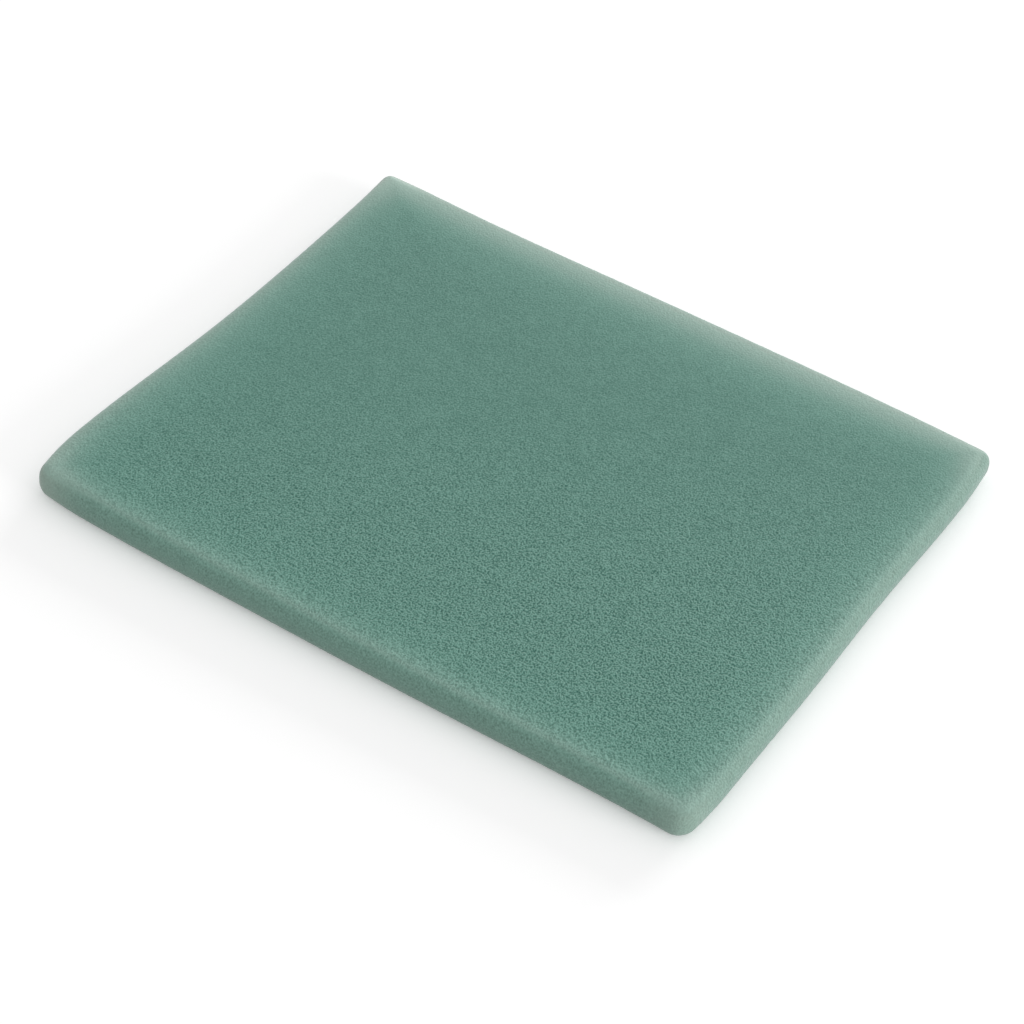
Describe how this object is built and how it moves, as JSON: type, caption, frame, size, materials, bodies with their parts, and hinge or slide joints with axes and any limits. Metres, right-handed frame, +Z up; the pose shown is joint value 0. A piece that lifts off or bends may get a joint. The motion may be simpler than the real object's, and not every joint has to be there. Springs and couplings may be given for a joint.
{
  "type": "floral foam pad",
  "caption": "Thin soft pad of fine-celled teal-green foam with rolled edges, rounded corners and gently bowed sides, for padding and holding flower work.",
  "frame": {"origin": "middle of the flat underside, which rests on the table", "axes": "+X along the length, +Y across the width, +Z up through the thickness"},
  "size_m": [0.15, 0.1264, 0.007],
  "materials": {
    "foam": "matte"
  },
  "bodies": {
    "root": {"foam_slab": "foam"}
  },
  "joints": []
}
